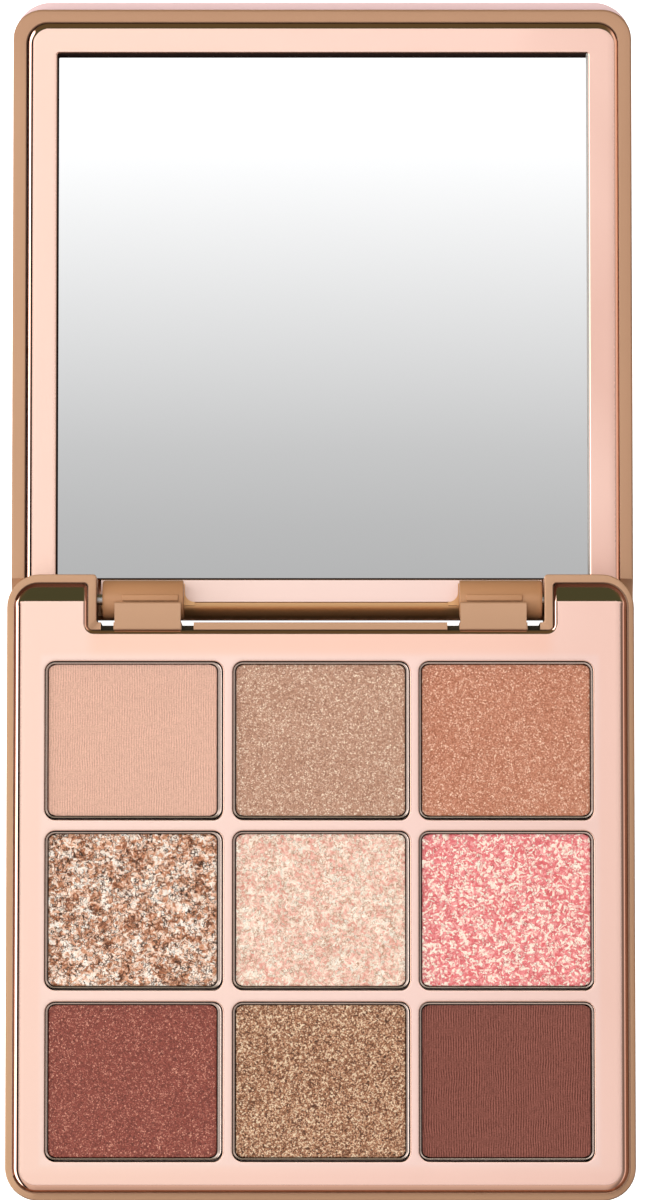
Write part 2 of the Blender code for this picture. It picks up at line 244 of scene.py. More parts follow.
def lathe_mesh(profile, sides=64):
    """Round body about the hinge axis; profile is (x, radius) along X, capped."""
    s = Shape()
    rings = []
    for x, r in profile:
        rings.append(s.ring([(x, r * math.cos(2 * math.pi * k / sides), AXIS_Z + r * math.sin(2 * math.pi * k / sides))
                             for k in range(sides)]))
    s.loft(rings)
    s.cap(rings[0][::-1])
    s.cap(rings[-1])
    return mesh_of("lathe", s)


def section_mesh(section, x0, x1):
    """Prism along X from a closed (y, z) section measured from the hinge axis."""
    s = Shape()
    a = s.ring([(x0, y, AXIS_Z + z) for y, z in section])
    b = s.ring([(x1, y, AXIS_Z + z) for y, z in section])
    s.bridge(a, b)
    s.cap(a[::-1])
    s.cap(b)
    return mesh_of("section", s)


def arc(cx, cy, r, a0, a1, n):
    return [(cx + r * math.cos(math.radians(a0 + (a1 - a0) * i / n)),
             cy + r * math.sin(math.radians(a0 + (a1 - a0) * i / n))) for i in range(n + 1)]


ROLL = [math.radians(90.0 * k / 12) for k in range(13)]


def bevel(turn, run, deg, hold=0.0, at=19.0, soft=0.0):
    """Edge profile from the flat outwards: a very soft fall over `soft` mm, a bend
    over `turn` mm that may hold a lesser slope for a while, then a straight slope
    over `run` mm.  Returns 13 (distance, drop) pairs."""
    mid = at if hold else deg / 2
    start = 9.0 if soft else mid * 0.6
    part = turn * mid / deg
    first = soft or part * 0.6
    steps = [(first / 3, start * (k + 0.5) / 3) for k in range(3)]
    steps += [(part * 0.2, start + (mid - start) * (k + 0.5) / 2) for k in range(2)] + [(hold / 2, mid)] * 2
    steps += [((turn - part) / 2, mid + (deg - mid) * (k + 0.5) / 2) for k in range(2)] + [(run / 3, deg)] * 3
    u, d, pts = 0.0, 0.0, [(0.0, 0.0)]
    for du, slope in steps:
        u, d = u + du, d + du * math.tan(math.radians(slope))
        pts.append((u, d))
    return pts


def paint(me, number, test):
    """Give the faces that pass the test (centre in mm, normal) a material number."""
    for p in me.polygons:
        c = p.center / MM
        if test(c.x, c.y - Y_OFF, c.z, p.normal):
            p.material_index = number
    return me

# ================================================================== materials


class Nodes:
    def __init__(self, name):
        self.mat = bpy.data.materials.new(name)
        self.mat.use_nodes = True
        self.nt = self.mat.node_tree
        self.bsdf = self.nt.nodes["Principled BSDF"]

    def add(self, kind, inputs=None, **props):
        n = self.nt.nodes.new(kind)
        for k, v in props.items():
            setattr(n, k, v)
        for k, v in (inputs or {}).items():
            self.put(n.inputs[k], v)
        return n

    def put(self, socket, v):
        if isinstance(v, bpy.types.NodeSocket):
            self.nt.links.new(v, socket)
        else:
            socket.default_value = v

    def set(self, **kw):
        for k, v in kw.items():
            self.put(self.bsdf.inputs[k.replace("_", " ")], v)

    def coord(self, out="Object"):
        return self.add("ShaderNodeTexCoord").outputs[out]

    def noise(self, scale, detail=3.0, rough=0.5, vec=None, distort=0.0):
        n = self.add("ShaderNodeTexNoise", {"Scale": scale, "Detail": detail, "Roughness": rough, "Distortion": distort})
        self.put(n.inputs["Vector"], vec or self.coord())
        return n.outputs["Fac"]

    def voronoi(self, scale, feature="F1", vec=None, out="Color", randomness=1.0):
        n = self.add("ShaderNodeTexVoronoi", {"Scale": scale, "Randomness": randomness}, feature=feature)
        self.put(n.inputs["Vector"], vec or self.coord())
        return n.outputs[out]

    def math(self, op, a, b=0.5, c=None, clamp=False):
        n = self.add("ShaderNodeMath", operation=op, use_clamp=clamp)
        self.put(n.inputs[0], a)
        self.put(n.inputs[1], b)
        if c is not None:
            self.put(n.inputs[2], c)
        return n.outputs[0]

    def span(self, v, a, b, c, d, smooth=False):
        n = self.add("ShaderNodeMapRange", {"From Min": a, "From Max": b, "To Min": c, "To Max": d})
        if smooth:
            n.interpolation_type = "SMOOTHSTEP"
        self.put(n.inputs["Value"], v)
        return n.outputs["Result"]

    def ramp(self, fac, stops, interp="LINEAR"):
        n = self.add("ShaderNodeValToRGB")
        r = n.color_ramp
        r.interpolation = interp
        while len(r.elements) < len(stops):
            r.elements.new(0.5)
        for e, (p, c) in zip(r.elements, stops):
            e.position = p
            e.color = (*c, 1.0) if len(c) == 3 else c
        self.put(n.inputs["Fac"], fac)
        return n.outputs["Color"]

    def mix(self, fac, a, b, blend="MIX"):
        n = self.add("ShaderNodeMix", data_type="RGBA", blend_type=blend)
        self.put(n.inputs[0], fac)
        for s, v in ((n.inputs[6], a), (n.inputs[7], b)):
            self.put(s, v if isinstance(v, bpy.types.NodeSocket) else (*v, 1.0))
        return n.outputs[2]

    def bump(self, height, strength, distance=0.0002):
        n = self.add("ShaderNodeBump", {"Strength": strength, "Distance": distance})
        self.put(n.inputs["Height"], height)
        return n.outputs["Normal"]

    def split(self, v):
        n = self.add("ShaderNodeSeparateXYZ")
        self.put(n.inputs[0], v)
        return n.outputs

    def scaled(self, v, sx, sy, sz):
        n = self.add("ShaderNodeVectorMath", {1: (sx, sy, sz)}, operation="MULTIPLY")
        self.put(n.inputs[0], v)
        return n.outputs[0]


def caramel():
    """Caramel plastic with a satin pearl lacquer: fine moulded texture, slight flow marks; painted shade darkens the
    lid's far end and right side, painted light brightens the base's left edge.
    """
    n = Nodes("caramel_plastic")
    flow = n.noise(55.0, 4.0, 0.55)
    fine = n.noise(5200.0, 2.0, 0.5)
    x, y, _ = n.split(n.coord())
    # painted shade: the lid's far end and its right side are made darker
    painted_shade = n.math("MAXIMUM", n.span(y, 0.070, 0.082, 0.0, 1.0),
                  n.math("MULTIPLY", n.span(x, 0.034, 0.043, 0.0, 1.0), n.span(y, 0.0, 0.006, 0.0, 1.0)))
    tone = n.ramp(flow, [(0.30, (0.530, 0.308, 0.187)), (0.70, (0.564, 0.331, 0.202))])
    tone = n.mix(n.span(painted_shade, 0.0, 1.0, 0.0, 1.0), tone, n.mix(1.0, tone, (0.91, 0.88, 0.88), "MULTIPLY"))
    # painted light: the base's left outer edge is made lighter
    light = n.math("MULTIPLY", n.span(x, -0.0425, -0.0415, 1.0, 0.0), n.span(y, -0.006, 0.0, 1.0, 0.0))
    n.set(Base_Color=n.mix(light, tone, n.mix(1.0, tone, (1.07, 1.10, 1.07), "MULTIPLY")),
          Metallic=n.span(flow, 0.3, 0.7, 0.40, 0.46),
          Roughness=n.span(fine, 0.3, 0.7, 0.34, 0.42),
          Normal=n.bump(fine, 0.04, 0.00005))
    return n.mat


def caramel_gloss():
    """The same plastic where the mould is polished: hinge bar and barrels."""
    n = Nodes("caramel_polished")
    flow = n.noise(55.0, 4.0, 0.55)
    fine = n.noise(2600.0, 2.0, 0.5)
    n.set(Base_Color=n.ramp(flow, [(0.30, (0.96, 0.555, 0.270)), (0.70, (1.0, 0.585, 0.288))]),
          Metallic=n.span(flow, 0.3, 0.7, 0.93, 0.96),
          Roughness=n.span(fine, 0.3, 0.7, 0.31, 0.34),
          Normal=n.bump(fine, 0.004, 0.00005))
    return n.mat


def caramel_turned():
    """The same plastic on the hinge barrels, darker and warmer: painted shade, with faint turning lines."""
    n = Nodes("caramel_barrel_painted_shade")
    flow = n.noise(55.0, 4.0, 0.55)
    lines = n.noise(1.0, 3.0, 0.5, vec=n.scaled(n.coord(), 60.0, 3000.0, 3000.0))
    n.set(Base_Color=n.ramp(flow, [(0.30, (0.440, 0.222, 0.108)), (0.70, (0.470, 0.240, 0.118))]),
          Metallic=n.span(flow, 0.3, 0.7, 0.14, 0.20),
          Roughness=n.span(lines, 0.3, 0.7, 0.34, 0.44),
          Normal=n.bump(lines, 0.03, 0.00005))
    return n.mat


def rose(name, flat_rough=0.36, flat_metal=0.55, tint=(0.96, 0.60, 0.47), flat_tint=(1.0, 0.700, 0.608), right_shade=(0.935, 0.89, 0.89), painted_zones=()):
    """Rose metallised plastic: satin on the flat, mirror-bright where the edges roll over; the flat's colour carries
    painted light, paler on the left, darker towards the right, and in paler or deeper stretches.
    """
    n = Nodes(name)
    nz = n.split(n.coord("Normal"))[2]
    flat = n.span(nz, 0.978, 0.9985, 0.0, 1.0, smooth=True)
    haze = n.noise(120.0, 3.0, 0.5)
    scratch = n.noise(1.0, 4.0, 0.6, vec=n.scaled(n.coord(), 160.0, 2600.0, 2600.0))
    rough = n.math("ADD", n.span(haze, 0.3, 0.7, -0.02, 0.02), n.span(scratch, 0.45, 0.75, 0.0, 0.03))
    # painted light: the flat's colour runs paler and creamier on the left to darker and pinker on the right, with a
    # random wander
    painted_falloff = n.math("ADD", n.span(n.split(n.coord())[0], -0.044, 0.044, 0.0, 1.0), n.span(n.noise(22.0, 2.0, 0.5), 0.3, 0.7, -0.18, 0.18))
    wash = n.ramp(painted_falloff, [(0.0, tuple(c * k for c, k in zip(flat_tint, (1.0, 1.01, 0.995)))), (0.45, flat_tint),
                          (0.75, tuple(c * k for c, k in zip(flat_tint, (0.99, 0.975, 0.985)))),
                          (1.0, tuple(c * k for c, k in zip(flat_tint, right_shade)))])
    x, y, _ = n.split(n.coord())
    for (x0, x1, y0, y1), soft, rgb in painted_zones:
        # painted light and shade: stretches where the plating is made paler or deeper, in mm with soft borders
        sides = [n.span(x, (x0 - soft) * MM, x0 * MM, 0.0, 1.0, smooth=True), n.span(x, x1 * MM, (x1 + soft) * MM, 1.0, 0.0, smooth=True),
                 n.span(y, (y0 - soft + Y_OFF) * MM, (y0 + Y_OFF) * MM, 0.0, 1.0, smooth=True),
                 n.span(y, (y1 + Y_OFF) * MM, (y1 + soft + Y_OFF) * MM, 1.0, 0.0, smooth=True)]
        here = n.math("MULTIPLY", n.math("MULTIPLY", sides[0], sides[1]), n.math("MULTIPLY", sides[2], sides[3]))
        wash = n.mix(here, wash, n.mix(1.0, wash, rgb, "MULTIPLY"))
    n.set(Base_Color=n.mix(flat, tint, wash),
          Metallic=n.span(flat, 0.0, 1.0, 1.0, flat_metal),
          Roughness=n.math("ADD", rough, n.span(flat, 0.0, 1.0, 0.07, flat_rough)),
          Normal=n.bump(n.noise(330.0, 2.0, 0.5), 0.015, 0.0002))
    return n.mat


def cover_mat():
    """Glossy pale rose lacquer on the outer covers."""
    n = Nodes("rose_cover")
    tone = n.noise(40.0, 3.0, 0.5)
    wipe = n.noise(1.0, 3.0, 0.6, vec=n.scaled(n.coord(), 240.0, 120.0, 240.0))
    n.set(Base_Color=n.ramp(tone, [(0.3, (0.755, 0.560, 0.590)), (0.7, (0.785, 0.585, 0.615))]),
          Roughness=n.span(wipe, 0.30, 0.75, 0.235, 0.265),
          Coat_Weight=0.4, Coat_Roughness=0.08,
          Normal=n.bump(n.noise(900.0, 2.0, 0.5), 0.02, 0.0001))
    return n.mat


def mirror_mat():
    n = Nodes("mirror_silver")
    wipe = n.noise(1.0, 4.0, 0.6, vec=n.scaled(n.coord(), 90.0, 420.0, 90.0))
    n.set(Base_Color=(0.925, 0.93, 0.935, 1.0), Metallic=1.0,
          Roughness=n.span(wipe, 0.35, 0.75, 0.012, 0.03))
    return n.mat


def metal(name, rgb, rough, grain=(3000.0, 3000.0, 3000.0), spread=0.08, metallic=1.0):
    n = Nodes(name)
    g = n.noise(1.0, 4.0, 0.6, vec=n.scaled(n.coord(), *grain))
    n.set(Base_Color=n.ramp(g, [(0.3, tuple(c * 0.93 for c in rgb)), (0.7, rgb)]), Metallic=metallic,
          Roughness=n.span(g, 0.3, 0.7, rough - spread / 2, rough + spread / 2),
          Normal=n.bump(g, 0.03, 0.00003))
    return n.mat


def dull(name, rgb, rough, scale=1500.0, amount=0.10):
    n = Nodes(name)
    g = n.noise(scale, 4.0, 0.6)
    n.set(Base_Color=n.ramp(g, [(0.3, tuple(c * (1 - amount) for c in rgb)), (0.7, rgb)]),
          Roughness=n.span(g, 0.3, 0.7, rough - 0.06, rough + 0.06),
          Normal=n.bump(g, 0.2, 0.00005))
    return n.mat


def rear_wall_shade():
    """Caramel wall at the hinge, darker towards the bottom: painted shade, which the polished hinge bar also shows in
    reflection.
    """
    n = Nodes("caramel_rear_painted_shade")
    z = n.split(n.coord())[2]
    g = n.noise(900.0, 3.0, 0.5)
    n.set(Base_Color=n.ramp(n.math("ADD", n.span(z, 0.0045, 0.0112, 0.0, 1.0), n.span(g, 0.3, 0.7, -0.03, 0.03)),
                            [(0.06, (0.036, 0.022, 0.015)), (0.35, (0.14, 0.062, 0.028)), (0.60, (0.40, 0.21, 0.10)), (0.95, (0.52, 0.29, 0.15))]),
          Roughness=n.span(g, 0.3, 0.7, 0.6, 0.7))
    return n.mat


def tilt(n, amount, rand):
    """Surface normal turned by a random amount per flake."""
    off = n.add("ShaderNodeVectorMath", {1: (-0.5, -0.5, -0.5)}, operation="ADD")
    n.put(off.inputs[0], rand)
    sc = n.add("ShaderNodeVectorMath", operation="SCALE")
    n.put(sc.inputs[0], off.outputs[0])
    n.put(sc.inputs["Scale"], amount)
    su = n.add("ShaderNodeVectorMath", operation="ADD")
    n.put(su.inputs[0], sc.outputs[0])
    n.put(su.inputs[1], n.add("ShaderNodeNewGeometry").outputs["Normal"])
    no = n.add("ShaderNodeVectorMath", operation="NORMALIZE")
    n.put(no.inputs[0], su.outputs[0])
    return no.outputs[0]


def matte_powder(name, dark, light, line=0.345, rib=0.085, patchy=0.06):
    """Pressed matte powder: velvety, with the press cloth's fine ribs."""
    n = Nodes(name)
    x = n.split(n.coord())
    ribs = n.math("SINE", n.math("ADD", n.math("MULTIPLY", x[0], 2 * math.pi / (line * MM)),
                                 n.span(n.noise(300.0, 2.0, 0.5), 0.3, 0.7, -2.0, 2.0)))
    grain = n.noise(5200.0, 3.0, 0.7)
    patch = n.noise(220.0, 4.0, 0.6)
    thread = n.noise(1.0, 3.0, 0.6, vec=n.scaled(n.coord(), 5200.0, 1100.0, 1100.0))
    fac = n.math("ADD", n.math("MULTIPLY", ribs, n.span(n.noise(450.0, 2.0, 0.5), 0.36, 0.60, rib * 0.2, rib)),
                 n.math("ADD", n.math("MULTIPLY", grain, 0.60),
                        n.math("ADD", n.math("MULTIPLY", thread, 0.40 - patchy), n.math("MULTIPLY", patch, patchy))))
    n.set(Base_Color=n.ramp(fac, [(0.34, dark), (0.66, light)]),
          Roughness=n.span(grain, 0.3, 0.7, 0.82, 0.95), Specular_IOR_Level=0.2,
          Sheen_Weight=0.10, Sheen_Roughness=0.5,
          Normal=n.bump(fac, 0.6, 0.00008))
    return n.mat


def shimmer_powder(name, stops, scale=8400.0, metallic=0.25, rough=0.42, turn=0.45, patch=0.10, lows=160.0):
    """Fine pearl powder: every grain its own tone and facing."""
    n = Nodes(name)
    cell = n.voronoi(scale)
    cell2 = n.voronoi(scale * 0.62)
    a, b = n.split(cell), n.split(cell2)
    big = n.noise(lows, 3.0, 0.6)
    fac = n.math("ADD", n.math("MULTIPLY", a[0], 0.58 * (1 - patch)),
                 n.math("ADD", n.math("MULTIPLY", b[1], 0.42 * (1 - patch)), n.math("MULTIPLY", big, patch)))
    n.set(Base_Color=n.ramp(fac, stops), Metallic=n.span(a[2], 0.0, 1.0, metallic * 0.5, metallic),
          Roughness=n.span(b[2], 0.0, 1.0, rough - 0.08, rough + 0.10),
          Normal=tilt(n, turn, cell))
    return n.mat


def flake_powder(name, stops, cell_mm=0.30, patch_mm=1.7, patch=0.25, turn=0.6, metallic=0.25, rough=0.35,
                 crack_shade=(0.10, 0.05, 0.03), crack=0.09, warp=0.25, share=0.42, fine=0.35, crumb=0.0, wrinkle=None):
    """Crushed foil glitter: flakes in clumps, dark cracks between them painted with shade; crumb adds
    broken tone inside the clumps, wrinkle (size in mm, width, tone) fine creases in the same painted shade."""
    n = Nodes(name)
    co = n.coord()
    push = n.add("ShaderNodeTexNoise", {"Scale": 900.0, "Detail": 2.0})
    n.put(push.inputs["Vector"], co)
    sh = n.add("ShaderNodeVectorMath", operation="SCALE")
    off = n.add("ShaderNodeVectorMath", {1: (-0.5, -0.5, -0.5)}, operation="ADD")
    n.put(off.inputs[0], push.outputs["Color"])
    n.put(sh.inputs[0], off.outputs[0])
    sh.inputs["Scale"].default_value = warp * MM * 2
    wv = n.add("ShaderNodeVectorMath", operation="ADD")
    n.put(wv.inputs[0], co)
    n.put(wv.inputs[1], sh.outputs[0])
    wv = wv.outputs[0]
    cell = n.voronoi(1.0 / (cell_mm * MM), vec=wv)
    small = n.voronoi(1.7 / (cell_mm * MM), vec=wv)
    edge = n.voronoi(1.0 / (cell_mm * MM), feature="DISTANCE_TO_EDGE", vec=wv, out="Distance")
    clump = n.noise(1.0 / (patch_mm * MM), 3.0, 0.6, vec=wv, distort=0.6)
    a, b = n.split(cell), n.split(small)
    rest = 1 - patch - crumb
    fac = n.math("ADD", n.math("MULTIPLY", n.span(clump, 0.38, 0.62, 0.0, 1.0), patch),
                 n.math("ADD", n.math("MULTIPLY", a[0], rest * (1 - fine)), n.math("MULTIPLY", b[1], rest * fine)))
    if crumb:
        broken = n.noise(1.0 / (0.62 * MM), 6.0, 0.74, vec=co, distort=0.7)
        fac = n.math("ADD", fac, n.math("MULTIPLY", n.span(broken, 0.34, 0.66, 0.0, 1.0), crumb))
    base = n.ramp(fac, stops)
    # painted shade: the crack colour goes into the cracks between flakes and, with wrinkle, into fine creases
    keep = n.math("MULTIPLY", n.span(edge, crack * 0.35, crack, 1.0, 0.0), n.math("LESS_THAN", a[2], share))
    if wrinkle:
        size, width, amount = wrinkle
        line = n.math("ABSOLUTE", n.math("SUBTRACT", n.noise(1.0 / (size * MM), 4.0, 0.62, vec=co, distort=1.0), 0.5))
        part = n.span(n.noise(1.0 / (2.6 * size * MM), 2.0, 0.5), 0.42, 0.58, 0.1, 1.0)
        keep = n.math("MAXIMUM", keep, n.math("MULTIPLY", n.math("MULTIPLY", n.span(line, width * 0.3, width, 1.0, 0.0), part), amount))
    n.set(Base_Color=n.mix(keep, base, crack_shade),
          Metallic=n.span(a[1], 0.0, 1.0, 0.0, metallic),
          Roughness=n.span(b[0], 0.0, 1.0, rough - 0.10, rough + 0.15),
          Normal=tilt(n, turn, cell))
    return n.mat


TAN = caramel()
TAN_GLOSS = caramel_gloss()
TAN_BARREL_SHADE = caramel_turned()
# painted light and shade on the deck: paler over the wells, deeper by the hinge and along the front edge
ROSE = rose("rose_metallised", painted_zones=[((-38.6, 38.4, -78.6, -8.4), 0.9, (1.0, 1.055, 1.10)),
                                      ((-31.0, 31.0, -6.6, 3.0), 2.4, (1.0, 0.935, 0.885)),
                                      ((-50.0, 50.0, -90.0, -80.6), 1.4, (0.99, 0.965, 0.955))])
# painted light on the frame: darker towards the right, paler along the hinge edge
ROSE_FRAME = rose("rose_frame", right_shade=(0.85, 0.77, 0.755), painted_zones=[((-31.0, 31.0, -3.0, 3.2), 0.8, (1.0, 1.085, 1.15))])
COVER = cover_mat()
MIRROR = mirror_mat()
TIN = metal("pan_aluminium", (0.70, 0.555, 0.485), 0.16, metallic=0.80)
STEEL = metal("pin_steel", (0.70, 0.69, 0.68), 0.25, (200.0, 4000.0, 4000.0))
PLATE = metal("steel_plate", (0.55, 0.55, 0.55), 0.38, (300.0, 4000.0, 4000.0), 0.15)
MAGNET = metal("magnet_nickel", (0.62, 0.60, 0.56), 0.30)
TAPE = dull("mounting_tape", (0.80, 0.79, 0.74), 0.75)
# near-black for the walls of the wells and the mirror frame's inner wall: painted shade in the gaps
GAP_SHADE = dull("gap_painted_shade", (0.030, 0.018, 0.016), 0.9)
GAP_SHADE.node_tree.nodes["Principled BSDF"].inputs["Specular IOR Level"].default_value = 0.0
# darker caramel on the rims' inner rounding and inner walls: painted shade
RECESS_SHADE = dull("caramel_recess_painted_shade", (0.200, 0.104, 0.060), 0.6)
# lighter caramel on the inner wall of the base's left rim: painted light
INNER = dull("caramel_inner_painted_light", (0.80, 0.59, 0.49), 0.5)
# darker caramel on the inner rounding of the base's front rim: painted shade
FRONT_INNER = dull("caramel_front_inner_painted_shade", (0.33, 0.170, 0.105), 0.5)
# dark floor and walls in the hinge slots: painted shade
SLOT_SHADE = dull("caramel_slot_painted_shade", (0.060, 0.045, 0.026), 0.7)
SHADE = rear_wall_shade()
# lighter caramel on the lid rim's right inner wall: painted light
LID_INNER = dull("caramel_lid_inner_painted_light", (0.60, 0.345, 0.225), 0.5)
# pale grey on the mirror frame's right lip, standing in for the light seen there: painted reflection
LIP_PALE = dull("frame_lip_painted_reflection", (0.40, 0.37, 0.345), 0.5)
GLUE = dull("pan_glue", (0.83, 0.79, 0.70), 0.45)

POWDER = {
    "r1c1": matte_powder("powder_r1c1", (0.48, 0.290, 0.225), (0.78, 0.480, 0.378), rib=0.11),
    "r1c2": shimmer_powder("powder_r1c2", [(0.14, (0.24, 0.105, 0.058)), (0.44, (0.455, 0.245, 0.165)),
                                           (0.66, (0.57, 0.335, 0.235)), (0.86, (1.0, 0.88, 0.72))]),
    "r1c3": shimmer_powder("powder_r1c3", [(0.14, (0.28, 0.085, 0.036)), (0.44, (0.495, 0.190, 0.110)),
                                           (0.66, (0.60, 0.258, 0.162)), (0.86, (1.0, 0.76, 0.60))]),
    "r2c1": flake_powder("powder_r2c1", [(0.20, (0.17, 0.050, 0.018)), (0.32, (0.46, 0.175, 0.080)), (0.43, (0.64, 0.335, 0.205)),
                                         (0.53, (0.82, 0.560, 0.435)), (0.63, (0.99, 0.82, 0.70)), (0.80, (1.0, 0.96, 0.90))],
                         cell_mm=0.37, patch_mm=1.9, patch=0.29, crumb=0.14, crack_shade=(0.055, 0.020, 0.008), crack=0.19, share=0.42,
                         fine=0.40, warp=0.6, wrinkle=(1.0, 0.022, 0.95)),
    "r2c2": flake_powder("powder_r2c2", [(0.18, (0.65, 0.265, 0.21)), (0.36, (0.82, 0.475, 0.395)), (0.50, (0.88, 0.66, 0.545)),
                                         (0.64, (0.98, 0.855, 0.72)), (0.86, (1.0, 0.98, 0.89))],
                         cell_mm=0.31, patch_mm=2.2, patch=0.22, crumb=0.12, crack_shade=(0.50, 0.285, 0.195), crack=0.18, share=0.40,
                         warp=0.5, wrinkle=(0.75, 0.022, 0.6)),
    "r2c3": flake_powder("powder_r2c3", [(0.16, (0.63, 0.105, 0.115)), (0.41, (0.78, 0.225, 0.235)), (0.55, (0.83, 0.385, 0.37)),
                                         (0.64, (1.0, 0.78, 0.66)), (0.86, (1.0, 0.93, 0.82))],
                         cell_mm=0.33, patch_mm=1.5, patch=0.15, crack_shade=(0.52, 0.095, 0.105), crack=0.16, share=0.25, fine=0.30, warp=0.55, turn=0.4),
    "r3c1": shimmer_powder("powder_r3c1", [(0.14, (0.11, 0.022, 0.015)), (0.46, (0.238, 0.052, 0.036)),
                                           (0.70, (0.328, 0.080, 0.055)), (0.92, (0.85, 0.44, 0.32))]),
    "r3c2": shimmer_powder("powder_r3c2", [(0.16, (0.070, 0.024, 0.010)), (0.40, (0.262, 0.105, 0.050)),
                                           (0.60, (0.56, 0.285, 0.160)), (0.82, (1.0, 0.82, 0.60))],
                           scale=6600.0, metallic=0.35, turn=0.7, patch=0.04),
    "r3c3": matte_powder("powder_r3c3", (0.095, 0.028, 0.020), (0.300, 0.106, 0.082), rib=0.17),
}

# ======================================================================= base
HALF_W = 43.8
P_OUT = [(-43.8, -83.86), (43.8, -83.86), (43.8, 3.30), (31.3, 3.30),
         (31.3, -3.40), (-31.3, -3.40), (-31.3, 3.30), (-43.8, 3.30)]
R_OUT = [4.6, 4.6, 4.6, 0.45, 0.35, 0.35, 0.45, 4.6]
P_IN = [(-42.82, -82.70), (42.82, -82.70), (42.82, 2.10), (32.52, 2.10),
        (32.52, -4.50), (-32.52, -4.50), (-32.52, 2.10), (-42.82, 2.10)]
R_IN = [3.4, 3.4, 3.4, 0.5, 0.6, 0.6, 0.5, 3.4]
RIM = 11.5
LOW = [0.0, 0.0, 0.0, 0.0, 0.26, 0.0, 0.0, 0.22]      # how far each stretch lies below the rim height


def base_shell():
    s = Shape()
    rings = []

    def level(poly, radii, ins, zs, low=LOW):
        rings.append(s.ring(outline(poly, radii, ins, [z - d for z, d in zip(zs, low)], 10)))

    level(P_OUT, R_OUT, [0.16] * 8, [1.55] * 8, [0.0] * 8)
    level(P_OUT, R_OUT, [0.0] * 8, [1.71] * 8, [0.0] * 8)
    # outer rounding, outward fall and inner rounding of the rim, edge by edge
    ro = [0.36, 0.30, 0.16, 0.16, 0.14, 0.16, 0.16, 0.12]
    lean = [0.36, 0.17, 0.0, 0.0, 0.0, 0.0, 0.0, 0.02]
    ri = [0.20, 0.26, 0.12, 0.12, 0.12, 0.12, 0.12, 0.05]
    for t in ROLL[::2]:
        level(P_OUT, R_OUT, [r * (1 - math.cos(t)) for r in ro],
              [RIM - f - r + r * math.sin(t) for r, f in zip(ro, lean)])
    for t in ROLL[::2]:
        level(P_IN, R_IN, [-r * (1 - math.sin(t)) for r in ri], [RIM - r * (1 - math.cos(t)) for r in ri])
    level(P_IN, R_IN, [0.0] * 8, [9.2] * 8, [0.0] * 8)
    s.loft(rings[:-7])
    # the rim's inner rounding and inner wall take the darker caramel: painted shade
    s.loft(rings[-8:], 1)
    s.cap(rings[0][::-1])
    well = outline([(-42.80, -82.68), (42.80, -82.68), (42.80, -4.52), (-42.80, -4.52)], [3.4, 3.4, 0.6, 0.6], [0.0] * 4, [0.0] * 4, 10)
    lo = s.ring([(x, y, 9.2) for x, y, _ in well])
    s.fill([rings[-1], lo])
    fl = s.ring([(x, y, 2.4) for x, y, _ in well])
    s.bridge(lo, fl)
    s.cap(fl)
    me = mesh_of("base_shell_body", s)
    nose = 4.65
    end = math.degrees(math.acos(-3.40 / nose))
    under = [(-3.40, -9.5), (9.0, -9.5), (9.0, 0.0)] + arc(0, 0, nose, 0.0, -end, 40)
    tools = [("DIFFERENCE", section_mesh(under, -50.0, 50.0))]
    for sx in (1, -1):
        for xa, xb in ((17.72, 19.42), (28.92, 30.68)):
            x0, x1 = sorted((sx * xa, sx * xb))
            tools.append(("DIFFERENCE", block_mesh(x0, x1, -3.64, -3.20, 0.0, 14.0)))
            tools.append(("DIFFERENCE", block_mesh(x0, x1, -4.90, -3.55, 8.0, 14.0)))
        # block that reaches over the barrel, tip rounded
        top, tip, r = RIM - AXIS_Z - 0.002, -0.58, 0.24
        a = math.degrees(math.acos(tip / 3.17))
        sec = arc(-4.44 + 0.2, top - 0.2, 0.2, 90.0, 180.0, 4) + [(-4.44, 0.0)] + arc(0, 0, 3.17, 180.0, a, 24)
        sec += arc(tip - r, top - r, r, 0.0, 90.0, 6)
        x0, x1 = sorted((sx * 19.55, sx * 28.77))
        tools.insert(0, ("UNION", section_mesh(sec, x0, x1)))
        tools.append(("DIFFERENCE", lathe_mesh([(sx * 33.2 - 4.0, 1.05), (sx * 33.2 + 4.0, 1.05)], 32)))
    # the notch wall's rear face gets the darker-downwards wall: painted shade
    me = paint(cut(me, tools, 6), 3, lambda x, y, z, n: n.y > 0.4 and -4.0 < y < -2.9 and abs(x) < 31.2 and z < 11.0)
    # the hinge slots' floor and walls get the dark slot colour: painted shade
    paint(me, 5, lambda x, y, z, n: y < -3.42 and 17.7 < abs(x) < 30.7 and not 19.45 < abs(x) < 28.9 and -5.0 < y and z < 11.2)
    # the front rim's inner rounding gets the darker caramel: painted shade
    paint(me, 4, lambda x, y, z, n: z > 9.0 and y < -82.3 and n.y > 0.3)
    # the left rim's inner wall gets the lighter caramel: painted light
    paint(me, 2, lambda x, y, z, n: z > 9.0 and x < -42.6 and n.x > 0.3 and y > -80.5)
    return piece("caramel_base_shell", me, [TAN, RECESS_SHADE, INNER, SHADE, FRONT_INNER, SLOT_SHADE], "base", ("base_shell",))


base_shell()


def cover(name, x, y0, y1, radii, z0, z1, body, node):
    """Outer cover: rounded lower edge, crisp upper one."""
    poly = [(-x, y0), (x, y0), (x, y1), (-x, y1)]
    s = Shape()
    rings = []

    def level(d, z):
        rings.append(s.ring([(px, py, z) for px, py, _ in outline(poly, radii, [d] * 4, [0.0] * 4, 12)]))

    big, small = 0.9, 0.12
    for t in ROLL[::2]:
        level(big * (1 - math.sin(t)), z0 + big * (1 - math.cos(t)))
    for t in ROLL[::4]:
        level(small * (1 - math.cos(t)), z1 - small + small * math.sin(t))
    s.cap(rings[0][::-1])
    s.loft(rings)
    s.cap(rings[-1])
    return piece(name, mesh_of(name, s), COVER, body, (node,))


